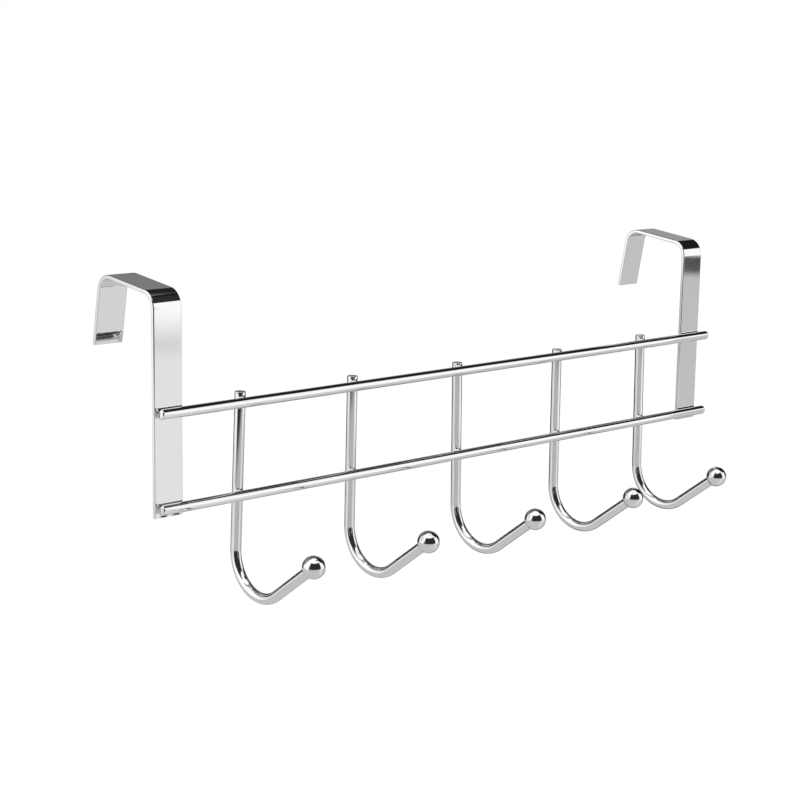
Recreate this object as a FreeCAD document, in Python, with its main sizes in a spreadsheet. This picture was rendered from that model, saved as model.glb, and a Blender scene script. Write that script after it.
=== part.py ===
import FreeCAD, Part
import os

import Sketcher
from FreeCAD import Placement, Rotation, Vector

# An over door hook rack, in millimetres: two bent strap hangers, two rails, five hook wires with balls.
# X runs along the rails, -Y points into the room and +Z is up. The origin is on the top front edge of
# the door, midway between the two hangers.

# The driving dimensions: alias, value, what it is.
SIZES = [
    # The flat strip that each hanger is bent from.
    ("strap_width", 18.0, "width of the flat strip"),
    ("strap_thickness", 2.2, "thickness of the flat strip"),
    ("strap_edge_radius", 0.35, "softened long edges of the strip"),
    ("strap_bend_radius", 8.0, "inside radius of both bends"),
    ("slot_width", 46.0, "inside width of the slot at its top"),
    ("seat_rise_angle", 7.0, "how far the front bend stays open past square"),
    ("foot_below_rail", 4.7, "how far the front leg runs on below the lower rail"),
    ("rear_leg_length", 38.5, "from the inside corner down to the end of the rear leg"),
    ("rear_leg_splay", 10.0, "how far the rear leg leans away from the door"),
    # The two rails, round bar welded across the front of the hangers.
    ("rail_diameter", 5.5, "round bar of the rails"),
    ("rail_end_radius", 0.8, "softened ends of a rail"),
    ("rail_left_inset", 2.1, "how far a rail stops short of the left hanger's outer edge"),
    ("rail_right_overhang", 5.6, "how far a rail runs past the right hanger's outer edge"),
    ("upper_rail_drop", 61.4, "from the top edge of the door down to the upper rail"),
    ("rail_spacing", 51.2, "between the two rails"),
    ("weld_set_down", 0.3, "how far a rail sinks into a strap or a wire at a weld"),
    # One hook wire, seen from the side.
    ("wire_diameter", 6.0, "round wire of the hooks"),
    ("wire_end_chamfer", 0.4, "broken edge of the cut top end"),
    ("stem_rise", 4.2, "how far a stem stands above the middle of the upper rail"),
    ("stem_drop", 82.5, "from the upper rail down to the start of the bend"),
    ("hook_bend_radius", 23.1, "radius of the bend, to the middle of the wire"),
    ("arm_rise_angle", 36.7, "how far the arm rises past level"),
    ("arm_reach", 36.9, "from the end of the bend to the middle of the ball"),
    # The ball on the end of each arm.
    ("ball_diameter", 12.5, "ball on the end of a hook"),
    ("socket_floor", 1.2, "from the middle of the ball back to the floor of its socket"),
    ("socket_fit", 0.01, "radial room between the socket and the wire"),
    # The hooks along the rails.
    ("hook_pitch", 82.2, "from one hook's mark to the next"),
    ("end_room", 47.85, "from the middle of a hanger to the mark of the outer hook"),
    # How each hook was welded by hand, a little off its mark: along the rails, leaning, and in height.
    ("first_shift", 1.3, "how far the first hook sits to the right of its mark"),
    ("second_shift", -1.0, "shift of the second hook"),
    ("third_shift", -0.5, "shift of the third hook"),
    ("fourth_shift", 4.0, "shift of the fourth hook"),
    ("fifth_shift", 1.2, "shift of the fifth hook"),
    ("first_lean", 2.0, "lean of the first hook in degrees, its foot to the left"),
    ("second_lean", 0.6, "lean of the second hook"),
    ("third_lean", -0.8, "lean of the third hook"),
    ("fourth_lean", -0.4, "lean of the fourth hook"),
    ("fifth_lean", -1.2, "lean of the fifth hook"),
    ("first_lift", 1.1, "how far the first hook is welded above its mark"),
    ("second_lift", 0.9, "lift of the second hook"),
    ("third_lift", 0.0, "lift of the third hook"),
    ("fourth_lift", -0.6, "lift of the fourth hook"),
    ("fifth_lift", 0.9, "lift of the fifth hook"),
]

# Sizes that follow from the ones above: alias, formula.
DERIVED = [
    ("hanger_pitch", "=4 * hook_pitch + 2 * end_room"),
    ("front_leg_length", "=upper_rail_drop + rail_spacing + foot_below_rail"),
    ("rail_length", "=hanger_pitch + strap_width - rail_left_inset + rail_right_overhang"),
    ("rail_shift", "=(rail_left_inset + rail_right_overhang) / 2"),
    ("first_hook", "=-2 * hook_pitch + first_shift"),
    ("second_hook", "=-hook_pitch + second_shift"),
    ("third_hook", "=third_shift"),
    ("fourth_hook", "=hook_pitch + fourth_shift"),
    ("fifth_hook", "=2 * hook_pitch + fifth_shift"),
    ("rail_y", "=-strap_thickness - rail_diameter / 2 + weld_set_down"),
    ("upper_rail_z", "=-upper_rail_drop"),
    ("lower_rail_z", "=-upper_rail_drop - rail_spacing"),
    ("wire_to_rail", "=(wire_diameter + rail_diameter) / 2 - weld_set_down"),
    ("wire_y", "=rail_y + wire_to_rail"),
    ("wire_turn", "=90 + arm_rise_angle"),
    ("wire_arm_length", "=arm_reach - socket_floor"),
    ("ball_reach", "=hook_bend_radius * (1 - cos(wire_turn)) + arm_reach * sin(wire_turn)"),
    ("ball_drop", "=stem_drop + hook_bend_radius * sin(wire_turn) + arm_reach * cos(wire_turn)"),
    ("socket_radius", "=wire_diameter / 2 + socket_fit"),
]

HOOKS = ("first", "second", "third", "fourth", "fifth")

# The point numbers of a sketch element, and the sketch's own origin and axes.
START, END, CENTRE = range(1, 4)
ORIGIN = (-1, START)
VERTICAL_AXIS = -2

doc = FreeCAD.newDocument("over_door_hook")
sheet = doc.addObject("Spreadsheet::Sheet", "dims")
pieces = []


def fill_sheet():
    """Writes every driving size, and every size that follows, into the sheet."""
    for row, (alias, value, words) in enumerate(SIZES, start=1):
        sheet.set(f"A{row}", str(value))
        sheet.setAlias(f"A{row}", alias)
        sheet.set(f"B{row}", words)
    for row, (alias, formula) in enumerate(DERIVED, start=len(SIZES) + 1):
        sheet.set(f"A{row}", formula)
        sheet.setAlias(f"A{row}", alias)
    doc.recompute()


def size(formula):
    """The present value of a formula over the sheet's sizes."""
    return float(sheet.evalExpression(formula.replace("dims.", "")))


def new_body(label):
    """A body for one sub-part, named after it."""
    body = doc.addObject("PartDesign::Body", label)
    body.Label = label
    pieces.append(body)
    return body


def new_sketch(body, role, name):
    """An empty sketch on one of the body's own origin planes."""
    sketch = body.newObject("Sketcher::SketchObject", name)
    origin_plane = next(f for f in body.Origin.OriginFeatures if f.Role == role)
    sketch.AttachmentSupport = [(origin_plane, "")]
    sketch.MapMode = "FlatFace"
    return sketch


def drive(sketch, name, formula, kind, *where):
    """Adds a constraint whose value comes from the sheet."""
    value = size(formula)
    if kind == "Angle":
        value = FreeCAD.Units.Quantity(value, FreeCAD.Units.Angle).getValueAs("rad").Value
    index = sketch.addConstraint(Sketcher.Constraint(kind, *where, value))
    sketch.renameConstraint(index, name)
    sketch.setExpression(f"Constraints.{name}", formula)


def tie(sketch, kind, *where):
    """Adds a constraint that has no value, such as Tangent or Vertical."""
    sketch.addConstraint(Sketcher.Constraint(kind, *where))


def polar(centre, radius, degrees):
    """The point of a circle at an angle."""
    turn = Rotation(Vector(0, 0, 1), degrees)
    return centre + turn.multVec(Vector(radius, 0, 0))


def arc(centre, radius, low, high):
    """An arc between two angles, turning anticlockwise."""
    return Part.Arc(
        polar(centre, radius, low), polar(centre, radius, (low + high) / 2), polar(centre, radius, high)
    )


def sweep(body, profile, path, name):
    """Sweeps a section along a bent path, as a strip or a wire is bent."""
    pipe = body.newObject("PartDesign::AdditivePipe", name)
    pipe.Profile = profile
    pipe.Spine = (path, [])
    doc.recompute()
    return pipe


def ring_edges(shape, radius, axis, places):
    """The names of the circular edges of one radius that lie at given places along an axis."""
    found = []
    for number, edge in enumerate(shape.Edges, start=1):
        curve = edge.Curve
        if not isinstance(curve, Part.Circle) or abs(curve.Radius - radius) > 1e-6:
            continue
        if any(abs(curve.Center.dot(axis) - place) < 1e-6 for place in places):
            found.append(f"Edge{number}")
    return found


def cut_groove(body, name, across, up, turned=0.0):
    """Cuts the seat of a rail: a round groove along X, and makes sure that it cut something."""
    sketch = new_sketch(body, "YZ_Plane", f"{name}_outline")
    sketch.AttachmentOffset = Placement(Vector(), Rotation(Vector(1, 0, 0), turned))
    middle = Vector(size(across), size(up), 0)
    circle = sketch.addGeometry(Part.Circle(middle, Vector(0, 0, 1), size("dims.rail_diameter") / 2))
    drive(sketch, "across", f"-({across})", "DistanceX", circle, CENTRE, *ORIGIN)
    drive(sketch, "down", f"-({up})", "DistanceY", circle, CENTRE, *ORIGIN)
    drive(sketch, "diameter", "dims.rail_diameter", "Diameter", circle)
    before = body.Shape.Volume
    pocket = body.newObject("PartDesign::Pocket", name)
    pocket.Profile = sketch
    pocket.Midplane = True
    pocket.Length = 4 * size("dims.strap_width")
    doc.recompute()
    if not body.Shape.Volume < before - 0.01:
        raise RuntimeError(f"{body.Label}: {name} cuts nothing")


def strap_path(body):
    """The inside line of a hanger: front leg, seat over the door, rear leg, with two round bends."""
    leg = size("dims.front_leg_length")
    slot = size("dims.slot_width")
    rise = size("dims.seat_rise_angle")
    splay = size("dims.rear_leg_splay")
    bend = size("dims.strap_bend_radius")
    along_seat = polar(Vector(), 1, rise)
    down_rear = polar(Vector(), 1, splay - 90)
    rear_corner = along_seat * (slot / along_seat.x)
    front_room = bend * size("tan((90 - dims.seat_rise_angle) / 2)")
    rear_room = bend * size("tan((90 - dims.rear_leg_splay + dims.seat_rise_angle) / 2)")
    rear_centre = rear_corner - along_seat * rear_room + polar(Vector(), bend, rise - 90)

    sketch = new_sketch(body, "YZ_Plane", "bend_line")
    front = sketch.addGeometry(Part.LineSegment(Vector(0, -leg, 0), Vector(0, -front_room, 0)))
    front_bend = sketch.addGeometry(arc(Vector(bend, -front_room, 0), bend, 90 + rise, 180))
    seat = sketch.addGeometry(
        Part.LineSegment(along_seat * front_room, rear_corner - along_seat * rear_room)
    )
    rear_bend = sketch.addGeometry(arc(rear_centre, bend, splay, 90 + rise))
    rear = sketch.addGeometry(
        Part.LineSegment(
            rear_corner + down_rear * rear_room, rear_corner + down_rear * size("dims.rear_leg_length")
        )
    )
    corner = sketch.addGeometry(Part.Point(rear_corner), True)

    tie(sketch, "Tangent", front, END, front_bend, END)
    tie(sketch, "Tangent", front_bend, START, seat, START)
    tie(sketch, "Tangent", seat, END, rear_bend, END)
    tie(sketch, "Tangent", rear_bend, START, rear, START)
    tie(sketch, "PointOnObject", front, START, VERTICAL_AXIS)
    tie(sketch, "Vertical", front)
    tie(sketch, "PointOnObject", *ORIGIN, seat)
    tie(sketch, "PointOnObject", corner, START, seat)
    tie(sketch, "PointOnObject", corner, START, rear)
    drive(sketch, "front_leg", "dims.front_leg_length", "DistanceY", front, START, *ORIGIN)
    drive(sketch, "front_radius", "dims.strap_bend_radius", "Radius", front_bend)
    drive(sketch, "rear_radius", "dims.strap_bend_radius", "Radius", rear_bend)
    drive(sketch, "rise", "dims.seat_rise_angle", "Angle", seat)
    drive(sketch, "slot", "dims.slot_width", "DistanceX", *ORIGIN, corner, START)
    drive(sketch, "splay", "dims.rear_leg_splay - 90", "Angle", rear)
    drive(sketch, "rear_leg", "dims.rear_leg_length", "Distance", corner, START, rear, END)
    return sketch


def strap_section(body):
    """The section of the flat strip at the foot of the front leg, its long edges softened."""
    half = size("dims.strap_width") / 2
    thick = size("dims.strap_thickness")
    soft = size("dims.strap_edge_radius")
    sketch = new_sketch(body, "XY_Plane", "strip_section")
    sketch.setExpression("AttachmentOffset.Base.z", "-dims.front_leg_length")
    right, left, back, front = half, -half, 0.0, -thick

    back_line = sketch.addGeometry(
        Part.LineSegment(Vector(right - soft, back, 0), Vector(left + soft, back, 0))
    )
    back_left = sketch.addGeometry(arc(Vector(left + soft, back - soft, 0), soft, 90, 180))
    left_line = sketch.addGeometry(
        Part.LineSegment(Vector(left, back - soft, 0), Vector(left, front + soft, 0))
    )
    front_left = sketch.addGeometry(arc(Vector(left + soft, front + soft, 0), soft, 180, 270))
    front_line = sketch.addGeometry(
        Part.LineSegment(Vector(left + soft, front, 0), Vector(right - soft, front, 0))
    )
    front_right = sketch.addGeometry(arc(Vector(right - soft, front + soft, 0), soft, 270, 360))
    right_line = sketch.addGeometry(
        Part.LineSegment(Vector(right, front + soft, 0), Vector(right, back - soft, 0))
    )
    back_right = sketch.addGeometry(arc(Vector(right - soft, back - soft, 0), soft, 0, 90))

    around = (back_line, back_left, left_line, front_left, front_line, front_right, right_line, back_right)
    for first, second in zip(around, around[1:] + around[:1]):
        tie(sketch, "Tangent", first, END, second, START)
    tie(sketch, "Vertical", left_line)
    tie(sketch, "Horizontal", front_line)
    tie(sketch, "Vertical", right_line)
    for second in (front_left, front_right, back_right):
        tie(sketch, "Equal", back_left, second)
    tie(sketch, "PointOnObject", back_line, START, -1)
    tie(sketch, "Symmetric", back_line, START, back_line, END, VERTICAL_AXIS)
    drive(sketch, "soft", "dims.strap_edge_radius", "Radius", back_left)
    drive(
        sketch, "flat", "dims.strap_width - 2 * dims.strap_edge_radius", "DistanceX",
        back_line, END, back_line, START,
    )
    drive(
        sketch, "side", "dims.strap_thickness - 2 * dims.strap_edge_radius", "DistanceY",
        left_line, END, left_line, START,
    )
    return sketch


def build_hanger(label, side):
    """One hanger: the strip swept along its bend line, then grooved where the rails are welded in."""
    body = new_body(label)
    sweep(body, strap_section(body), strap_path(body), "bent_strip")
    cut_groove(body, "upper_rail_seat", "dims.rail_y", "dims.upper_rail_z")
    cut_groove(body, "lower_rail_seat", "dims.rail_y", "dims.lower_rail_z")
    body.setExpression("Placement.Base.x", f"{side} * dims.hanger_pitch / 2")


def build_rail(label, height):
    """One rail: round bar cut to length, with softened ends."""
    body = new_body(label)
    sketch = new_sketch(body, "YZ_Plane", "bar_section")
    circle = sketch.addGeometry(Part.Circle(Vector(), Vector(0, 0, 1), size("dims.rail_diameter") / 2))
    tie(sketch, "Coincident", circle, CENTRE, *ORIGIN)
    drive(sketch, "diameter", "dims.rail_diameter", "Diameter", circle)
    bar = body.newObject("PartDesign::Pad", "bar")
    bar.Profile = sketch
    bar.Midplane = True
    bar.setExpression("Length", "dims.rail_length")
    doc.recompute()
    half = size("dims.rail_length") / 2
    ends = ring_edges(bar.Shape, size("dims.rail_diameter") / 2, Vector(1, 0, 0), (-half, half))
    soft = body.newObject("PartDesign::Fillet", "softened_ends")
    soft.Base = (bar, ends)
    soft.setExpression("Radius", "dims.rail_end_radius")
    body.setExpression("Placement.Base.x", "dims.rail_shift")
    body.setExpression("Placement.Base.y", "dims.rail_y")
    body.setExpression("Placement.Base.z", height)
    doc.recompute()


def wire_path(body):
    """The middle line of a hook: straight stem, round bend forwards, straight arm rising."""
    rise = size("dims.stem_rise")
    drop = size("dims.stem_drop")
    radius = size("dims.hook_bend_radius")
    turn = size("dims.wire_turn")
    centre = Vector(-radius, -drop, 0)
    arm_start = polar(centre, radius, -turn)
    arm_end = arm_start + polar(Vector(), size("dims.wire_arm_length"), 270 - turn)

    sketch = new_sketch(body, "YZ_Plane", "hook_line")
    stem = sketch.addGeometry(Part.LineSegment(Vector(0, rise, 0), Vector(0, -drop, 0)))
    bend = sketch.addGeometry(arc(centre, radius, -turn, 0))
    arm = sketch.addGeometry(Part.LineSegment(arm_start, arm_end))
    tie(sketch, "PointOnObject", stem, START, VERTICAL_AXIS)
    tie(sketch, "Vertical", stem)
    tie(sketch, "Tangent", stem, END, bend, END)
    tie(sketch, "Tangent", bend, START, arm, START)
    drive(sketch, "rise", "dims.stem_rise", "DistanceY", *ORIGIN, stem, START)
    drive(sketch, "drop", "dims.stem_drop", "DistanceY", stem, END, *ORIGIN)
    drive(sketch, "radius", "dims.hook_bend_radius", "Radius", bend)
    drive(sketch, "arm_angle", "270 - dims.wire_turn", "Angle", arm)
    drive(sketch, "arm_length", "dims.wire_arm_length", "Distance", arm, START, arm, END)
    return sketch


def wire_section(body):
    """The round section of the wire, at the top end of the stem."""
    sketch = new_sketch(body, "XY_Plane", "wire_section")
    sketch.setExpression("AttachmentOffset.Base.z", "dims.stem_rise")
    circle = sketch.addGeometry(Part.Circle(Vector(), Vector(0, 0, 1), size("dims.wire_diameter") / 2))
    tie(sketch, "Coincident", circle, CENTRE, *ORIGIN)
    drive(sketch, "diameter", "dims.wire_diameter", "Diameter", circle)
    return sketch


def build_hook_wire(label, place, lean, lift):
    """One hook wire, notched where the two rails cross it, then leant as it was welded."""
    body = new_body(label)
    wire = sweep(body, wire_section(body), wire_path(body), "bent_wire")
    top = ring_edges(wire.Shape, size("dims.wire_diameter") / 2, Vector(0, 0, 1), (size("dims.stem_rise"),))
    broken = body.newObject("PartDesign::Chamfer", "broken_end")
    broken.Base = (wire, top)
    broken.setExpression("Size", "dims.wire_end_chamfer")
    doc.recompute()
    # The wire leans and the rails don't, so the notches are cut turned back by the lean.
    back = -size(lean)
    cut_groove(body, "upper_rail_notch", "-dims.wire_to_rail", f"-{lift}", back)
    cut_groove(body, "lower_rail_notch", "-dims.wire_to_rail", f"-{lift} - dims.rail_spacing", back)
    body.Placement.Rotation = Rotation(Vector(0, 1, 0), size(lean))
    body.setExpression("Placement.Base.x", place)
    body.setExpression("Placement.Base.y", "dims.wire_y")
    body.setExpression("Placement.Base.z", f"dims.upper_rail_z + {lift}")
    doc.recompute()
    return body


def build_hook_ball(label, wire):
    """One ball: turned, with a blind socket that takes the end of the arm."""
    body = new_body(label)
    radius = size("dims.ball_diameter") / 2
    bore = size("dims.socket_radius")
    floor = size("dims.socket_floor")
    mouth = (radius**2 - bore**2) ** 0.5
    start = -size(f"acos({bore / radius})")

    sketch = new_sketch(body, "XZ_Plane", "half_ball")
    base = sketch.addGeometry(Part.LineSegment(Vector(0, -floor, 0), Vector(bore, -floor, 0)))
    wall = sketch.addGeometry(Part.LineSegment(Vector(bore, -floor, 0), Vector(bore, -mouth, 0)))
    skin = sketch.addGeometry(arc(Vector(), radius, start, 90))
    axis = sketch.addGeometry(Part.LineSegment(Vector(0, radius, 0), Vector(0, -floor, 0)))
    tie(sketch, "Coincident", base, END, wall, START)
    tie(sketch, "Coincident", wall, END, skin, START)
    tie(sketch, "Coincident", skin, END, axis, START)
    tie(sketch, "Coincident", axis, END, base, START)
    tie(sketch, "Coincident", skin, CENTRE, *ORIGIN)
    tie(sketch, "PointOnObject", base, START, VERTICAL_AXIS)
    tie(sketch, "PointOnObject", skin, END, VERTICAL_AXIS)
    tie(sketch, "Horizontal", base)
    tie(sketch, "Vertical", wall)
    drive(sketch, "radius", "dims.ball_diameter / 2", "Radius", skin)
    drive(sketch, "floor", "dims.socket_floor", "DistanceY", base, START, *ORIGIN)
    drive(sketch, "bore", "dims.socket_radius", "DistanceX", base, START, base, END)

    ball = body.newObject("PartDesign::Revolution", "turned_ball")
    ball.Profile = sketch
    ball.ReferenceAxis = (sketch, ["V_Axis"])
    ball.Angle = 360
    middle = Vector(0, -size("dims.ball_reach"), -size("dims.ball_drop"))
    tilt = Rotation(Vector(1, 0, 0), 180 - size("dims.wire_turn"))
    body.Placement = wire.Placement.multiply(Placement(middle, tilt))
    doc.recompute()


def check_all():
    """Stops the script if any object failed or any sub-part's shape is unsound."""
    doc.recompute()
    for item in doc.Objects:
        if "Invalid" in item.State or "Error" in item.State:
            raise RuntimeError(f"{item.Label} failed: {item.State}")
    for body in pieces:
        if body.Shape.isNull() or not body.Shape.isValid() or len(body.Shape.Solids) != 1:
            raise RuntimeError(f"{body.Label} has an unsound shape")


fill_sheet()
build_hanger("left_door_hanger", -1)
build_hanger("right_door_hanger", 1)
build_rail("upper_rail", "dims.upper_rail_z")
build_rail("lower_rail", "dims.lower_rail_z")
for number, name in enumerate(HOOKS, start=1):
    hook = build_hook_wire(
        f"hook_wire_{number}", f"dims.{name}_hook", f"dims.{name}_lean", f"dims.{name}_lift"
    )
    build_hook_ball(f"hook_ball_{number}", hook)
check_all()

os.makedirs("parts", exist_ok=True)
for body in pieces:
    body.Shape.exportStep(f"parts/{body.Label}.step")
    box = body.Shape.BoundBox
    print(
        f"{body.Label}: {body.Shape.Volume:.1f} mm3, X {box.XMin:.1f} to {box.XMax:.1f}, "
        f"Y {box.YMin:.1f} to {box.YMax:.1f}, Z {box.ZMin:.1f} to {box.ZMax:.1f}"
    )
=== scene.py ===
"""Over door hook rack in bright chrome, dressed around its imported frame.

Lengths are in millimetres and angles in degrees, as on a workshop drawing. Meshes are in metres.
X runs along the rails, -Y points into the room and +Z is up. The origin is on the door's top front edge,
midway between the two hangers.
"""

import logging
import math
from dataclasses import dataclass, field
from enum import Enum
from typing import Any

import bpy
import numpy as np
from mathutils import Matrix, Vector

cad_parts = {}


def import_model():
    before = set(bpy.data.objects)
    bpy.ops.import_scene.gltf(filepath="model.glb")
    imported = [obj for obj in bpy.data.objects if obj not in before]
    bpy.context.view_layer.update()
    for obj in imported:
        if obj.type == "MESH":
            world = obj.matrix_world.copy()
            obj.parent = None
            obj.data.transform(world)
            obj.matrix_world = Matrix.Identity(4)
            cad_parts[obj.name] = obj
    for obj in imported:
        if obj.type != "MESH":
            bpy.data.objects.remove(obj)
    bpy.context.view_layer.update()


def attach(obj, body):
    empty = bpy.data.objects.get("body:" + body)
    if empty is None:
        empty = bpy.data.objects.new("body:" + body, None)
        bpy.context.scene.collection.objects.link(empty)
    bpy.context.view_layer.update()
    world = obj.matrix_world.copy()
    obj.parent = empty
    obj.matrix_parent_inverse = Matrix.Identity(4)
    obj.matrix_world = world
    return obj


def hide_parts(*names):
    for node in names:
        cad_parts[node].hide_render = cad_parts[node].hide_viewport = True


Pair = tuple[float, float]
Place = tuple[float, float, float]

LOG = logging.getLogger("over_door_hook")
MM = 0.001
WHITE = (1.0, 1.0, 1.0, 1.0)

# Rings on the quarter circle that rounds off each end of a bar.
END_RINGS = 7

# Points on each quarter of a round bar's outline.
ROUND_POINTS = 17


def linear_colour(hex_colour: str) -> tuple[float, float, float, float]:
    """Turns an sRGB hex colour into the linear colour that a shader takes.

    Args:
        hex_colour: Six hex digits with a leading hash sign.

    Returns:
        Linear red, green and blue, with an alpha of 1.
    """
    channels = np.array([int(hex_colour[i : i + 2], 16) for i in (1, 3, 5)]) / 255.0
    low = channels / 12.92
    high = ((channels + 0.055) / 1.055) ** 2.4
    red, green, blue = np.where(channels <= 0.04045, low, high)
    return float(red), float(green), float(blue), 1.0


def add_node(
    tree: bpy.types.NodeTree, kind: str, settings: dict[str | int, Any], links: dict[str | int, Any]
) -> bpy.types.Node:
    """Adds a node with its settings and its incoming links.

    Args:
        tree: The node tree that takes the node.
        kind: The node's type name.
        settings: Attributes of the node, or values of its inputs, by name or number.
        links: Output sockets of other nodes, by the name or number of the input that takes each.

    Returns:
        The new node.
    """
    node = tree.nodes.new(kind)
    for name, value in settings.items():
        if isinstance(name, int) or name in node.inputs:
            node.inputs[name].default_value = value
        else:
            setattr(node, name, value)
    for name, socket in links.items():
        tree.links.new(socket, node.inputs[name])
    return node


def bare_material(name: str) -> bpy.types.Material:
    """Makes a material with an empty node tree.

    Args:
        name: Name of the material.

    Returns:
        The material.
    """
    material = bpy.data.materials.new(name)
    material.use_nodes = True
    material.node_tree.nodes.clear()
    return material


def linked_object(name: str, data: bpy.types.ID) -> bpy.types.Object:
    """Makes an object and links it to the scene.

    Args:
        name: Name of the object.
        data: Its mesh, lamp or camera.

    Returns:
        The object, at the origin.
    """
    item = bpy.data.objects.new(name, data)
    bpy.context.scene.collection.objects.link(item)
    return item


def shown_rays(tree: bpy.types.NodeTree) -> bpy.types.NodeSocket:
    """Tells the rays that show a background, seen straight, in metal or through glass, from the rest.

    Args:
        tree: The node tree of a material or of the world.

    Returns:
        A socket that is 1 on those rays and 0 on all others.
    """
    path = add_node(tree, "ShaderNodeLightPath", {}, {}).outputs
    both = add_node(
        tree, "ShaderNodeMath", {"operation": "MAXIMUM"},
        {0: path["Is Camera Ray"], 1: path["Is Glossy Ray"]},
    )
    every = add_node(
        tree, "ShaderNodeMath", {"operation": "MAXIMUM"},
        {0: both.outputs[0], 1: path["Is Transmission Ray"]},
    )
    return every.outputs[0]


@dataclass(frozen=True)
class BrightChrome:
    """Decorative chrome over bright nickel on steel, polished before plating.

    The eye gets a near mirror, broken only by the faint unevenness of the steel beneath the plating:
    slow ripples, a fine grain, and a roughness that goes with the ripples from clear to hazy.
    """

    name: str
    colour: str = "#ECECEB"
    clear_roughness: float = 0.035
    hazy_roughness: float = 0.05
    ripple_mm: float = 9.0
    ripple_depth_mm: float = 0.0012
    grain_mm: float = 1.1
    grain_depth_mm: float = 0.0002

    def material(self) -> bpy.types.Material:
        """Builds the material.

        Returns:
            A metal with slow ripples from the steel and a fine grain from the plating.
        """
        material = bare_material(self.name)
        tree = material.node_tree
        place = add_node(tree, "ShaderNodeTexCoord", {}, {}).outputs["Object"]
        ripple = add_node(
            tree, "ShaderNodeTexNoise",
            {"Scale": 1.0 / (self.ripple_mm * MM), "Detail": 1.0, "Roughness": 0.4}, {"Vector": place},
        )
        grain = add_node(
            tree, "ShaderNodeTexNoise",
            {"Scale": 1.0 / (self.grain_mm * MM), "Detail": 2.0, "Roughness": 0.5}, {"Vector": place},
        )
        slow = add_node(
            tree, "ShaderNodeBump", {"Strength": 1.0, "Distance": self.ripple_depth_mm * MM},
            {"Height": ripple.outputs["Fac"]},
        )
        fine = add_node(
            tree, "ShaderNodeBump", {"Strength": 1.0, "Distance": self.grain_depth_mm * MM},
            {"Height": grain.outputs["Fac"], "Normal": slow.outputs["Normal"]},
        )
        # The noise seldom leaves 0.3 to 0.7, so that range is spread over the two roughnesses.
        haze = add_node(
            tree, "ShaderNodeMapRange",
            {
                "From Min": 0.3, "From Max": 0.7,
                "To Min": self.clear_roughness, "To Max": self.hazy_roughness,
            },
            {"Value": ripple.outputs["Fac"]},
        )
        shader = add_node(
            tree, "ShaderNodeBsdfPrincipled",
            {"Base Color": linear_colour(self.colour), "Metallic": 1.0},
            {"Roughness": haze.outputs["Result"], "Normal": fine.outputs["Normal"]},
        )
        add_node(tree, "ShaderNodeOutputMaterial", {}, {"Surface": shader.outputs["BSDF"]})
        return material


# Rolled steel strip keeps a mottle beneath the chrome. The real one is too fine to show in the render,
# so it is drawn at 2.2 mm. To the eye it takes the hard edge off what the flat strap mirrors.
STRIP_CHROME = BrightChrome("chrome_on_bent_strip", grain_mm=2.2, grain_depth_mm=0.004)

# Drawn steel wire is smoother, with long shallow waves, so its lines of light run clean and nearly
# straight.
WIRE_CHROME = BrightChrome("chrome_on_round_wire", ripple_mm=14.0, ripple_depth_mm=0.0008)


@dataclass(frozen=True)
class Section:
    """Outline of a bar, drawn anticlockwise, with the direction that each of its points faces.

    Four quarter circles of the corner radius stand at the corners of a rectangle, with straight runs
    between them. A round bar is the same outline with no straight runs. Half across is half of the size
    along the side that the line carries, and half wide is half of the other.
    """

    half_across: float
    half_wide: float
    corner: float
    arc_points: int
    flat_points: int

    @classmethod
    def round_bar(cls, diameter: float) -> "Section":
        """The outline of a round bar of that diameter."""
        return cls(diameter / 2, diameter / 2, diameter / 2, arc_points=ROUND_POINTS, flat_points=0)

    def outline(self, inset: np.ndarray) -> tuple[np.ndarray, np.ndarray]:
        """Works out the outline at one or more insets.

        An inset makes each quarter circle's radius smaller and leaves its middle where it is. The points
        of a straight run lie closer together towards its ends, by half of one minus a cosine.

        Args:
            inset: How far each ring is drawn in, one value for each ring.

        Returns:
            Points (rings, points, 2) and unit facings (points, 2).
        """
        middles = np.array([[1, 1], [-1, 1], [-1, -1], [1, -1]], float)
        middles = middles * np.array([self.half_across - self.corner, self.half_wide - self.corner])
        quarter = np.linspace(0.0, math.pi / 2, self.arc_points)
        turns = quarter[None, :] + (np.arange(4) * math.pi / 2)[:, None]
        facing = np.stack([np.cos(turns), np.sin(turns)], axis=-1)
        radius = np.maximum(self.corner - inset, 0.0)[:, None, None, None]
        arcs = middles[None, :, None, :] + radius * facing[None]
        if self.flat_points == 0:
            keep = slice(0, self.arc_points - 1)
            return arcs[:, :, keep].reshape(len(inset), -1, 2), facing[:, keep].reshape(-1, 2)
        half_turn = np.linspace(0.0, math.pi, self.flat_points + 2)[1:-1]
        share = (0.5 - 0.5 * np.cos(half_turn))[None, None, :, None]
        runs = arcs[:, :, -1:] * (1 - share) + np.roll(arcs, -1, axis=1)[:, :, :1] * share
        flats = np.repeat(facing[:, -1:], self.flat_points, axis=1)
        points = np.concatenate([arcs, runs], axis=2).reshape(len(inset), -1, 2)
        return points, np.concatenate([facing, flats], axis=1).reshape(-1, 2)


@dataclass(frozen=True)
class Line:
    """Line that carries a bar, with a place, a direction and a side at each station, all (n, 3).

    The side is the way of the outline's first coordinate.
    """

    places: np.ndarray
    along: np.ndarray
    side: np.ndarray


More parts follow.
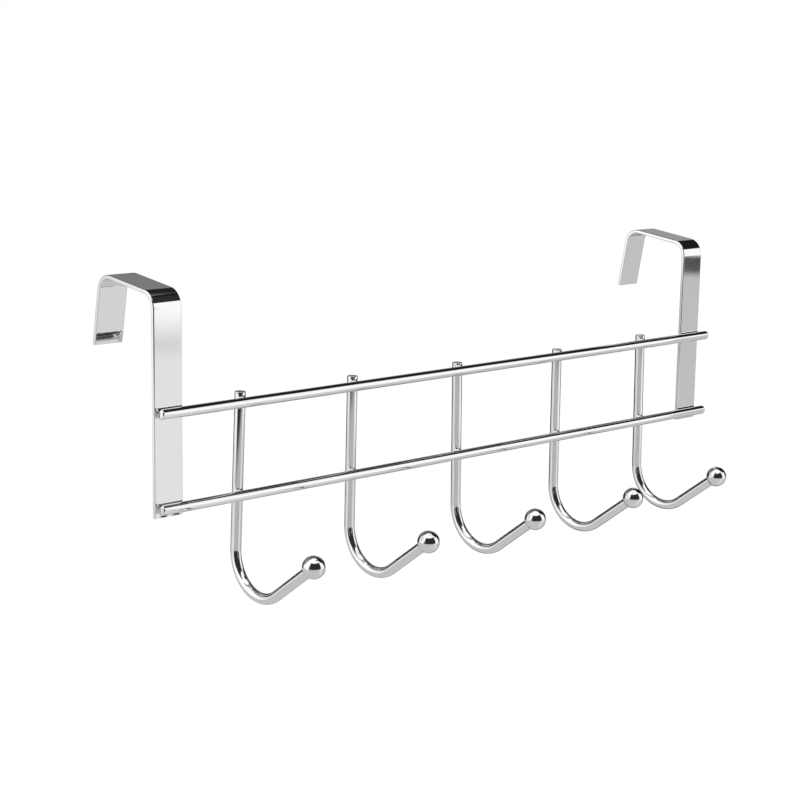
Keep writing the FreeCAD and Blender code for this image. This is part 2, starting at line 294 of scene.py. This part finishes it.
@dataclass
class Route:
    """Line of a bar in the plane across the rails, as stations with a place (y, z) and a heading.

    A heading of 0 points up and a quarter turn points at the door, so its direction is
    (0, sin heading, cos heading) and the side that the bar's outline starts from is (0, -cos, sin).
    """

    start: Pair
    heading: float
    places: list[np.ndarray] = field(init=False)
    headings: list[np.ndarray] = field(init=False)

    def __post_init__(self) -> None:
        """Sets the first station."""
        self.places = [np.array([self.start])]
        self.headings = [np.array([math.radians(self.heading)])]

    def straight(self, length: float, steps: int) -> "Route":
        """Adds a straight run: the last place, plus the distance along the last heading.

        Args:
            length: Length of the run.
            steps: Number of stations, evenly spaced.

        Returns:
            The route itself.
        """
        turn = self.headings[-1][-1]
        way = np.linspace(0.0, length, steps + 1)[1:, None] * np.array([[math.sin(turn), math.cos(turn)]])
        self.places.append(self.places[-1][-1] + way)
        self.headings.append(np.full(steps, turn))
        return self

    def bend(self, radius: float, degrees: float, steps: int) -> "Route":
        """Adds a round bend, on a circle whose centre is one radius to the inner side of the last station.

        Args:
            radius: Radius of the route itself.
            degrees: Turn, positive towards a larger heading.
            steps: Number of stations, evenly spaced.

        Returns:
            The route itself.
        """
        first = self.headings[-1][-1]
        turned = first + np.radians(np.linspace(0.0, degrees, steps + 1)[1:])
        swing = radius * math.copysign(1.0, degrees)
        way = swing * np.stack([math.cos(first) - np.cos(turned), np.sin(turned) - math.sin(first)], axis=-1)
        self.places.append(self.places[-1][-1] + way)
        self.headings.append(turned)
        return self

    def line(self) -> Line:
        """Stands the route up in the plane across the rails.

        Returns:
            Its line in space, start to end.
        """
        heading = np.concatenate(self.headings)
        nought = np.zeros_like(heading)
        return Line(
            places=np.column_stack([nought, np.concatenate(self.places)]),
            along=np.column_stack([nought, np.sin(heading), np.cos(heading)]),
            side=np.column_stack([nought, -np.cos(heading), np.sin(heading)]),
        )


@dataclass
class Surface:
    """Closed surface of rings, with a pole at each end and the exact direction that each point faces."""

    points: np.ndarray
    facing: np.ndarray
    poles: np.ndarray
    pole_facing: np.ndarray

    def moved(self, lean: float, shift: Place) -> "Surface":
        """Leans the surface about the Y axis and then moves it.

        Args:
            lean: Turn about the Y axis.
            shift: How far it moves along X, Y and Z.

        Returns:
            The moved surface.
        """
        turn = math.radians(lean)
        cos, sin = math.cos(turn), math.sin(turn)
        # Points are rows, so the matrix of the turn is transposed.
        matrix = np.array([[cos, 0, sin], [0, 1, 0], [-sin, 0, cos]]).T
        return Surface(
            self.points @ matrix + np.array(shift), self.facing @ matrix,
            self.poles @ matrix + np.array(shift), self.pole_facing @ matrix,
        )

    def build(self, name: str) -> bpy.types.Object:
        """Makes the Blender object, with its place in its mesh.

        Neighbouring rings are joined by quads, and the first and last ring close on their poles.

        Args:
            name: Name of the piece.

        Returns:
            The object, at the origin, unturned and unscaled.
        """
        rings, around = self.points.shape[:2]
        index = np.arange(rings * around).reshape(rings, around)
        after = np.roll(index, -1, axis=1)
        quads = np.stack([index[:-1], after[:-1], after[1:], index[1:]], axis=-1).reshape(-1, 4)
        first, last = rings * around, rings * around + 1
        low = np.stack([np.full(around, first), after[0], index[0]], axis=-1)
        high = np.stack([np.full(around, last), index[-1], after[-1]], axis=-1)
        vertices = np.concatenate([self.points.reshape(-1, 3), self.poles]) * MM
        normals = np.concatenate([self.facing.reshape(-1, 3), self.pole_facing])
        normals /= np.linalg.norm(normals, axis=1, keepdims=True)
        mesh = bpy.data.meshes.new(name)
        mesh.from_pydata(vertices.tolist(), [], quads.tolist() + low.tolist() + high.tolist())
        mesh.polygons.foreach_set("use_smooth", np.ones(len(mesh.polygons), bool))
        mesh.update()
        mesh.normals_split_custom_set_from_vertices(normals.tolist())
        return linked_object(name, mesh)


def softened_ends(line: Line, soft: float) -> tuple[np.ndarray, np.ndarray, np.ndarray, np.ndarray]:
    """Adds the rings that round off both ends of a bar.

    An end of radius r is a quarter circle: a ring tilted by an angle t stands r (1 - sin t) inside the
    end face and is drawn in by r (1 - cos t).

    Args:
        line: The bar's line.
        soft: Radius of both ends.

    Returns:
        Places (k, 3), insets (k,), tilts (k,) and the number of the station that each ring follows.
    """
    tilt = np.linspace(0.0, math.pi / 2, END_RINGS)
    inside, inset = soft * (1 - np.sin(tilt)), soft * (1 - np.cos(tilt))
    last = len(line.places) - 1
    between = np.zeros(last - 1)
    places = [
        line.places[0] + inside[::-1, None] * line.along[0],
        line.places[1:-1],
        line.places[-1] - inside[:, None] * line.along[-1],
    ]
    insets = [inset[::-1], between, inset]
    tilts = [-tilt[::-1], between, tilt]
    stations = [np.zeros(END_RINGS, int), np.arange(1, last), np.full(END_RINGS, last)]
    return tuple(map(np.concatenate, (places, insets, tilts, stations)))


def bar(section: Section, line: Line, soft: float, lift: float = 0.0) -> Surface:
    """Carries an outline along a line and closes it with softened ends.

    A point of the surface is its station, plus the outline's two coordinates along the station's side
    and across it. It faces the way that its outline does, leant towards the end on the end rings.

    Args:
        section: Outline of the bar.
        line: The line that carries it.
        soft: Radius of the softened ends.
        lift: How far the outline's middle lies from the line, towards the side.

    Returns:
        The closed surface.
    """
    centre, inset, tilt, station = softened_ends(line, soft)
    outline, facing = section.outline(inset)
    first, ahead = line.side[station], line.along[station]
    second = np.cross(ahead, first)
    middle = centre + lift * first
    points = middle[:, None] + outline[..., :1] * first[:, None] + outline[..., 1:] * second[:, None]
    outward = facing[None, :, :1] * first[:, None] + facing[None, :, 1:] * second[:, None]
    leant = np.cos(tilt)[:, None, None] * outward + np.sin(tilt)[:, None, None] * ahead[:, None]
    return Surface(points, leant, middle[[0, -1]], np.stack([-ahead[0], ahead[-1]]))


def dress(piece: bpy.types.Object, node: str, material: bpy.types.Material) -> None:
    """Gives a piece its finish, and puts it in the place of its frame node.

    Args:
        piece: The piece.
        node: The frame node that it stands for.
        material: Its finish.
    """
    piece.data.materials.append(material)
    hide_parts(node)
    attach(piece, "root")
    LOG.info("%s: %d faces", piece.name, len(piece.data.polygons))


class Side(Enum):
    """Which of the two hangers, seen from the room, with the way that it lies along X."""

    LEFT = -1
    RIGHT = 1


@dataclass
class Rack:
    """Sizes that the sub-assemblies share."""

    hook_pitch: float = 82.2
    end_room: float = 47.85
    strap_width: float = 18.0
    strap_thickness: float = 2.2
    rail_diameter: float = 5.5
    wire_diameter: float = 6.0
    weld_set_down: float = 0.3
    upper_rail_drop: float = 61.4
    rail_spacing: float = 51.2

    @property
    def half_pitch(self) -> float:
        """From the middle of the rack to the middle of a hanger."""
        return 2 * self.hook_pitch + self.end_room

    @property
    def lower_rail_drop(self) -> float:
        """How far the lower rail hangs below the door's top edge."""
        return self.upper_rail_drop + self.rail_spacing

    @property
    def rail_y(self) -> float:
        """Where the rails' middle line stands, set down a little into the straps."""
        return -self.strap_thickness - self.rail_diameter / 2 + self.weld_set_down

    @property
    def wire_y(self) -> float:
        """Where the hooks' stems stand, behind the rails."""
        return self.rail_y + (self.rail_diameter + self.wire_diameter) / 2 - self.weld_set_down


@dataclass
class DoorHanger:
    """Flat strip bent twice, over the top of the door and down behind it."""

    rack: Rack
    side: Side
    bend_radius: float = 8.0
    edge_radius: float = 0.6
    end_radius: float = 0.25
    slot_width: float = 46.0
    seat_rise: float = 7.0
    rear_leg: float = 38.5
    rear_splay: float = 10.0
    foot_below_rail: float = 4.7
    front_leg_steps: int = 40
    seat_steps: int = 16
    rear_leg_steps: int = 16
    bend_steps: int = 28
    corner_points: int = 6
    flat_points: int = 9

    def route(self) -> Route:
        """Works out the strip's inside line: front leg up, seat over the door, rear leg down.

        Each bend takes its radius times the tangent of half its turn from the runs beside it.

        Returns:
            The route, starting at the foot of the front leg.
        """
        front_turn = 90.0 - self.seat_rise
        rear_turn = 90.0 + self.seat_rise - self.rear_splay
        front_room = self.bend_radius * math.tan(math.radians(front_turn) / 2)
        rear_room = self.bend_radius * math.tan(math.radians(rear_turn) / 2)
        front_leg = self.rack.lower_rail_drop + self.foot_below_rail
        seat = self.slot_width / math.cos(math.radians(self.seat_rise))
        route = Route((0.0, -front_leg), heading=0.0)
        route.straight(front_leg - front_room, self.front_leg_steps)
        route.bend(self.bend_radius, front_turn, self.bend_steps)
        route.straight(seat - front_room - rear_room, self.seat_steps)
        route.bend(self.bend_radius, rear_turn, self.bend_steps)
        return route.straight(self.rear_leg - rear_room, self.rear_leg_steps)

    def build(self, finish: bpy.types.Material) -> None:
        """Builds the hanger, as the strip's outline carried along its inside line, and dresses it.

        Args:
            finish: The strap's chrome.
        """
        half = self.rack.strap_thickness / 2
        wide = self.rack.strap_width / 2
        section = Section(half, wide, self.edge_radius, self.corner_points, self.flat_points)
        surface = bar(section, self.route().line(), self.end_radius, lift=half)
        node = f"{self.side.name.lower()}_door_hanger"
        place = (self.side.value * self.rack.half_pitch, 0.0, 0.0)
        dress(surface.moved(0.0, place).build(f"{node}_strap"), node, finish)


@dataclass
class Rail:
    """Round bar welded across both hangers and all the hooks."""

    rack: Rack
    name: str
    drop: float
    left_inset: float = 2.1
    right_overhang: float = 5.6
    end_radius: float = 0.8
    stations: int = 90

    def build(self, finish: bpy.types.Material) -> None:
        """Builds the rail, as a circle carried along X, and dresses it.

        Args:
            finish: The rail's chrome.
        """
        outer = self.rack.half_pitch + self.rack.strap_width / 2
        run = np.linspace(self.left_inset - outer, outer + self.right_overhang, self.stations)
        even = np.ones_like(run)
        line = Line(
            places=np.column_stack([run, self.rack.rail_y * even, -self.drop * even]),
            along=np.tile([1.0, 0.0, 0.0], (self.stations, 1)),
            side=np.tile([0.0, -1.0, 0.0], (self.stations, 1)),
        )
        surface = bar(Section.round_bar(self.rack.rail_diameter), line, self.end_radius)
        dress(surface.build(f"{self.name}_bar"), self.name, finish)


@dataclass
class Hook:
    """Round wire with one bend and a ball on its end, welded behind both rails.

    The shift along the rail, the lean and the lift are each hook's own, as the welder left them.
    """

    rack: Rack
    number: int
    shift: float
    lean: float
    lift: float
    stem_rise: float = 4.2
    stem_drop: float = 82.5
    bend_radius: float = 23.1
    arm_rise: float = 36.7
    arm_reach: float = 36.9
    end_radius: float = 0.4
    ball_diameter: float = 12.5
    socket_floor: float = 1.2
    stem_steps: int = 40
    bend_steps: int = 72
    arm_steps: int = 20
    ball_rings: int = 64
    ball_points: int = 96

    def place(self) -> Place:
        """Where the stem crosses the upper rail's height, counted from the middle hook, the third."""
        along = (self.number - 3) * self.rack.hook_pitch + self.shift
        return along, self.rack.wire_y, self.lift - self.rack.upper_rail_drop

    def route(self) -> Route:
        """Works out the wire's middle line: stem down, bend forwards, arm rising into the ball.

        Returns:
            The route, starting at the top of the stem.
        """
        route = Route((0.0, self.stem_rise), heading=180.0)
        route.straight(self.stem_rise + self.stem_drop, self.stem_steps)
        route.bend(self.bend_radius, 90.0 + self.arm_rise, self.bend_steps)
        return route.straight(self.arm_reach - self.socket_floor, self.arm_steps)

    def ball(self, centre: np.ndarray, axis: np.ndarray) -> Surface:
        """Works out the ball, as rings about the arm's own line.

        A point at the angle t from the pole is the centre, plus the radius times cos t along the axis
        and sin t around it, and it faces away from the centre.

        Args:
            centre: Middle of the ball.
            axis: Direction of the arm.

        Returns:
            The closed surface.
        """
        radius = self.ball_diameter / 2
        first = np.array([1.0, 0.0, 0.0])
        second = np.cross(axis, first)
        down = np.linspace(math.pi, 0.0, self.ball_rings + 2)[1:-1, None, None]
        turn = np.linspace(0.0, 2 * math.pi, self.ball_points + 1)[:-1][None, :, None]
        facing = np.cos(down) * axis + np.sin(down) * (np.cos(turn) * first + np.sin(turn) * second)
        ends = np.stack([-axis, axis])
        return Surface(centre + radius * facing, facing, centre + radius * ends, ends)

    def build(self, finish: bpy.types.Material) -> None:
        """Builds the wire and its ball and dresses them.

        Args:
            finish: The wire's chrome, which the ball has too.
        """
        line = self.route().line()
        wire = bar(Section.round_bar(self.rack.wire_diameter), line, self.end_radius)
        ball = self.ball(line.places[-1] + self.socket_floor * line.along[-1], line.along[-1])
        for surface, part in ((wire, "wire"), (ball, "ball")):
            node = f"hook_{part}_{self.number}"
            piece = surface.moved(self.lean, self.place()).build(f"{node}_chrome")
            dress(piece, node, finish)


def glowing_card(name: str, points: np.ndarray, quads: np.ndarray, level: np.ndarray) -> bpy.types.Object:
    """Makes a screen of cloth lit from behind, which only mirror surfaces see.

    It glows with the level that its mesh carries at each point, gives light to nothing else and throws
    no shadow.

    Args:
        name: Name of the screen.
        points: Its points (n, 3).
        quads: Its faces (m, 4), as numbers of points.
        level: The level at each point (n,), where 1 is white.

    Returns:
        The screen.
    """
    material = bare_material(name)
    tree = material.node_tree
    carried = add_node(tree, "ShaderNodeAttribute", {"attribute_name": "level"}, {})
    glow = add_node(tree, "ShaderNodeEmission", {"Color": WHITE}, {"Strength": carried.outputs["Fac"]})
    add_node(tree, "ShaderNodeOutputMaterial", {}, {"Surface": glow.outputs["Emission"]})
    mesh = bpy.data.meshes.new(name)
    mesh.from_pydata((points * MM).tolist(), [], quads.tolist())
    mesh.attributes.new("level", "FLOAT", "POINT").data.foreach_set("value", level)
    mesh.materials.append(material)
    card = linked_object(name, mesh)
    card.visible_camera = False
    card.visible_diffuse = False
    card.visible_shadow = False
    card.visible_transmission = False
    card.visible_volume_scatter = False
    return card


@dataclass(frozen=True)
class Patch:
    """One light or dark part of the room that the chrome mirrors, with soft edges.

    Bearings are counted from the camera's side, positive to its right, and heights from level. A level
    of 1 is white.
    """

    bearing: Pair
    height: Pair
    level: float
    soft: float

    def share(self, bearing: np.ndarray, height: np.ndarray) -> np.ndarray:
        """Works out how far the patch covers each direction.

        Across each edge the share rises from 0 to 1 in a straight line over the soft width, and the
        two directions are multiplied. The bearing is counted round from the patch's own middle.

        Args:
            bearing: Bearings.
            height: Heights.

        Returns:
            Shares from 0 to 1.
        """
        middle, reach = np.mean(self.bearing), np.ptp(self.bearing) / 2
        away = np.abs((bearing - middle + 180.0) % 360.0 - 180.0)
        across = np.clip(0.5 + (reach - away) / self.soft, 0.0, 1.0) if reach < 180 else 1.0
        above = np.clip(0.5 + (height - self.height[0]) / self.soft, 0.0, 1.0)
        below = np.clip(0.5 + (self.height[1] - height) / self.soft, 0.0, 1.0)
        return across * above * below


@dataclass
class MirroredRoom:
    """Dome of white screens and dark cloths round the rack, which only its mirror surfaces see.

    A patch covers those before it, and where there is none the wall shows.
    """

    camera_side: float
    radius: float = 2000.0
    centre: Place = (0.0, 0.0, -80.0)
    table_drop: float = 520.0
    bearing_step: float = 1.0
    height_step: float = 0.75
    wall_level: float = 0.11
    patches: tuple[Patch, ...] = (
        # The grey wall behind the rack.
        Patch((112, 248), (6, 33), 0.22, 6.0),
        # The table: its top all round, the camera's shade, the light from the right, and the dark rear.
        Patch((-180, 180), (-95, -11.6), 0.62, 2.5),
        Patch((-36, 66), (-17, -9.4), 0.52, 2.6),
        Patch((50, 89), (-62, -12), 0.76, 8.0),
        Patch((138, 222), (-60, -12), 0.24, 14.0),
        # The ceiling, brighter on the camera's side.
        Patch((-180, 180), (67, 95), 1.1, 5.0),
        Patch((-112, 97), (49, 95), 1.25, 4.0),
        Patch((93, 125), (62, 95), 1.25, 3.0),
        # The left softbox, from its dimmer outer edge to its glow on the table.
        Patch((-112, -94), (-17, 60), 0.82, 6.0),
        Patch((-98, -40), (-12.5, 62), 1.2, 3.0),
        Patch((-84, -42), (-17, -9), 0.88, 3.0),
        # A black cloth behind the left softbox, and the softbox's grey foot.
        Patch((-172, -114), (-17, 15), 0.02, 4.0),
        Patch((-93, -83), (-20, -5.5), 0.52, 2.5),
        # The right softbox: its face, its lower and upper ends, and its glow on the table.
        Patch((71, 112), (-8, 34), 1.15, 1.5),
        Patch((77, 112), (-12.5, 0), 1.15, 1.5),
        Patch((71, 97), (32, 52), 0.95, 4.0),
        Patch((60, 78), (-20, -8), 0.89, 1.5),
        # The dark side of the room, where the camera stands, and its paler left edge.
        Patch((-34, 68), (-9.1, 44), 0.03, 0.9),
        Patch((-47, -32), (-9, 10), 0.12, 6.0),
        # Black cloths at the right and behind, which put the black line on the rails.
        Patch((113, 158), (-6, 61.5), 0.012, 3.0),
        Patch((94, 130), (42, 61), 0.012, 2.0),
        Patch((100, 125), (25, 60), 0.012, 2.0),
        Patch((150, 200), (36, 60), 0.02, 4.0),
        # A pale gap in the wall behind the rack, and a black strip below the wall.
        Patch((157, 175), (6, 26), 0.34, 6.0),
        Patch((165, 197), (-16, 6), 0.02, 4.0),
    )

    def build(self) -> bpy.types.Object:
        """Builds the dome, with each point's level worked out from the patches in turn.

        A point is the centre plus the radius times (cos h sin b, -cos h cos b, sin h), where h is its
        height and b its bearing plus the camera's own. Where that would lie below the table, the radius
        is cut to end on it.

        Returns:
            The dome.
        """
        turns = np.arange(0.0, 360.0, self.bearing_step)
        rises = np.arange(-90.0, 90.0 + self.height_step / 2, self.height_step)
        turn, rise = np.meshgrid(turns, rises)
        bearing, height = np.radians(turn + self.camera_side), np.radians(rise)
        # The least dip meets the table far beyond the dome, and keeps the division from 0.
        least_dip = 0.01
        dip = np.maximum(-np.sin(height), least_dip)
        reach = np.minimum(self.radius, self.table_drop / dip)
        ways = [np.cos(height) * np.sin(bearing), -np.cos(height) * np.cos(bearing), np.sin(height)]
        points = np.stack(ways, axis=-1) * reach[..., None] + np.array(self.centre)
        level = np.full(turn.shape, self.wall_level)
        for patch in self.patches:
            share = patch.share(turn, rise)
            level = level * (1.0 - share) + patch.level * share
        index = np.arange(turn.size).reshape(turn.shape)
        after = np.roll(index, -1, axis=1)
        quads = np.stack([index[:-1], index[1:], after[1:], after[:-1]], axis=-1).reshape(-1, 4)
        return glowing_card("mirrored_room", points.reshape(-1, 3), quads, level.ravel())


@dataclass(frozen=True)
class Flag:
    """Small upright screen close to the rack, which one part of it mirrors and the rest hardly sees.

    Its width is turned from +X towards +Y. It has one level at each of its heights above its place, and
    the glow runs evenly between them.
    """

    name: str
    place: Place
    turned: float
    wide: float
    heights: tuple[float, ...]
    levels: tuple[float, ...]

    def build(self) -> bpy.types.Object:
        """Builds the screen, as a strip of bands one above the other.

        Returns:
            The screen.
        """
        turn = math.radians(self.turned)
        across = np.array([math.cos(turn), math.sin(turn), 0.0]) * self.wide / 2
        rows = np.array(self.place) + np.outer(self.heights, [0.0, 0.0, 1.0])
        points = np.stack([rows - across, rows + across], axis=1).reshape(-1, 3)
        index = np.arange(2 * len(rows)).reshape(-1, 2)
        quads = np.stack([index[:-1, 0], index[:-1, 1], index[1:, 1], index[1:, 0]], axis=-1)
        return glowing_card(self.name, points, quads, np.repeat(self.levels, 2))


@dataclass
class Studio:
    """Pale floor, soft light, what the chrome mirrors, and the camera.

    The camera looks ahead through the door, turned by the azimuth towards +X and down by the elevation.
    """

    aim: Place = (-29.35, 19.37, -79.6)
    azimuth: float = 42.4
    elevation: float = 10.95
    roll: float = 0.95
    distance: float = 1120.7
    lens: float = 84.7
    sensor_width: float = 36.0
    sight: float = 50000.0
    floor_drop: float = 620.0
    floor_half_width: float = 30000.0
    floor_colour: str = "#EFEFEF"
    floor_glow: float = 1.06
    floor_glow_share: float = 0.85
    world_light: float = 0.8
    world_white: float = 1.0
    lamp_place: Place = (-1100.0, -1200.0, 1750.0)
    lamp_width: float = 1600.0
    lamp_watts: float = 34.0
    flags: tuple[Flag, ...] = (
        # Puts the dark band and the white one above it on the right hanger, just below its front bend.
        Flag(
            "flag_at_right_leg", place=(480.0, -220.0, -50.0), turned=51.0, wide=50.0,
            heights=(-140.0, -14.0, -8.0, 3.0, 6.0), levels=(0.62, 0.60, 0.12, 0.08, 1.0),
        ),
        # Carries the black on the left hanger's front bend down to where the white of the leg starts.
        Flag(
            "flag_at_left_bend", place=(-60.0, -135.0, 0.0), turned=49.5, wide=110.0,
            heights=(100.0, 104.0, 300.0), levels=(0.04, 0.03, 0.03),
        ),
    )

    def camera(self) -> None:
        """Places the camera at its angle and distance from the point it aims at, then rolls it."""
        azimuth, elevation, roll = map(math.radians, (self.azimuth, self.elevation, self.roll))
        ahead = Vector((
            math.sin(azimuth) * math.cos(elevation), math.cos(azimuth) * math.cos(elevation),
            -math.sin(elevation),
        ))
        level_right = Vector((math.cos(azimuth), -math.sin(azimuth), 0.0))
        right = Matrix.Rotation(-roll, 3, ahead) @ level_right
        up = right.cross(ahead)
        data = bpy.data.cameras.new("camera")
        data.lens = self.lens
        data.sensor_width = self.sensor_width
        data.clip_end = self.sight * MM
        camera = linked_object("camera", data)
        place = (Vector(self.aim) - self.distance * ahead) * MM
        camera.matrix_world = Matrix.Translation(place) @ Matrix((right, up, -ahead)).transposed().to_4x4()
        bpy.context.scene.camera = camera

    def floor(self) -> bpy.types.Object:
        """Builds a wide pale floor that the camera sees nearly white and that keeps its shadow.

        The rays that show it get a share of even white glow, and the rest of it is matt paint.

        Returns:
            The floor.
        """
        half = self.floor_half_width * MM
        height = -self.floor_drop * MM
        mesh = bpy.data.meshes.new("floor")
        corners = [(x * half, y * half, height) for x, y in ((-1, -1), (1, -1), (1, 1), (-1, 1))]
        mesh.from_pydata(corners, [], [(0, 1, 2, 3)])
        material = bare_material("matt_white_floor_paint")
        tree = material.node_tree
        share = add_node(
            tree, "ShaderNodeMath",
            {"operation": "MULTIPLY", 1: self.floor_glow_share}, {0: shown_rays(tree)},
        )
        plain = add_node(tree, "ShaderNodeBsdfDiffuse", {"Color": linear_colour(self.floor_colour)}, {})
        white = add_node(tree, "ShaderNodeEmission", {"Color": WHITE, "Strength": self.floor_glow}, {})
        mixed = add_node(
            tree, "ShaderNodeMixShader", {},
            {"Fac": share.outputs[0], 1: plain.outputs["BSDF"], 2: white.outputs["Emission"]},
        )
        add_node(tree, "ShaderNodeOutputMaterial", {}, {"Surface": mixed.outputs["Shader"]})
        mesh.materials.append(material)
        return linked_object("floor", mesh)

    def world(self) -> None:
        """Sets a white world for the rays that show it, and a softer one for the light on all else."""
        world = bpy.data.worlds.new("studio")
        bpy.context.scene.world = world
        world.use_nodes = True
        tree = world.node_tree
        tree.nodes.clear()
        soft = add_node(tree, "ShaderNodeBackground", {"Color": WHITE, "Strength": self.world_light}, {})
        white = add_node(tree, "ShaderNodeBackground", {"Color": WHITE, "Strength": self.world_white}, {})
        mixed = add_node(
            tree, "ShaderNodeMixShader", {},
            {"Fac": shown_rays(tree), 1: soft.outputs["Background"], 2: white.outputs["Background"]},
        )
        add_node(tree, "ShaderNodeOutputWorld", {}, {"Surface": mixed.outputs["Shader"]})

    def lamp(self) -> bpy.types.Object:
        """Hangs one large soft lamp above and behind the camera, which the chrome doesn't mirror.

        Returns:
            The lamp, turned towards the origin.
        """
        data = bpy.data.lights.new("softbox", "AREA")
        data.shape = "SQUARE"
        data.size = self.lamp_width * MM
        data.energy = self.lamp_watts
        lamp = linked_object("softbox", data)
        lamp.visible_glossy = False
        place = Vector(self.lamp_place) * MM
        turn = (-place).to_track_quat("-Z", "Y").to_matrix().to_4x4()
        lamp.matrix_world = Matrix.Translation(place) @ turn
        return lamp

    def build(self) -> None:
        """Builds the whole studio."""
        self.camera()
        self.world()
        room = MirroredRoom(camera_side=-self.azimuth).build()
        self.floor()
        self.lamp()
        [flag.build() for flag in self.flags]
        bpy.context.scene.view_settings.view_transform = "Standard"
        LOG.info("studio: camera, floor, lamp, mirrored room and %d flags", len(self.flags))


def main() -> None:
    """Loads the frame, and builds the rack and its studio."""
    logging.basicConfig(level=logging.INFO, format="%(name)s: %(message)s")
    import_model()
    rack = Rack()
    strip_chrome = STRIP_CHROME.material()
    wire_chrome = WIRE_CHROME.material()
    for side in Side:
        DoorHanger(rack, side).build(strip_chrome)
    Rail(rack, "upper_rail", rack.upper_rail_drop).build(wire_chrome)
    Rail(rack, "lower_rail", rack.lower_rail_drop).build(wire_chrome)
    hooks = (
        Hook(rack, 1, shift=1.3, lean=2.0, lift=1.1),
        Hook(rack, 2, shift=-1.0, lean=0.6, lift=0.9),
        Hook(rack, 3, shift=-0.5, lean=-0.8, lift=0.0),
        Hook(rack, 4, shift=4.0, lean=-0.4, lift=-0.6),
        Hook(rack, 5, shift=1.2, lean=-1.2, lift=0.9),
    )
    for hook in hooks:
        hook.build(wire_chrome)
    Studio().build()


if __name__ == "__main__":
    main()
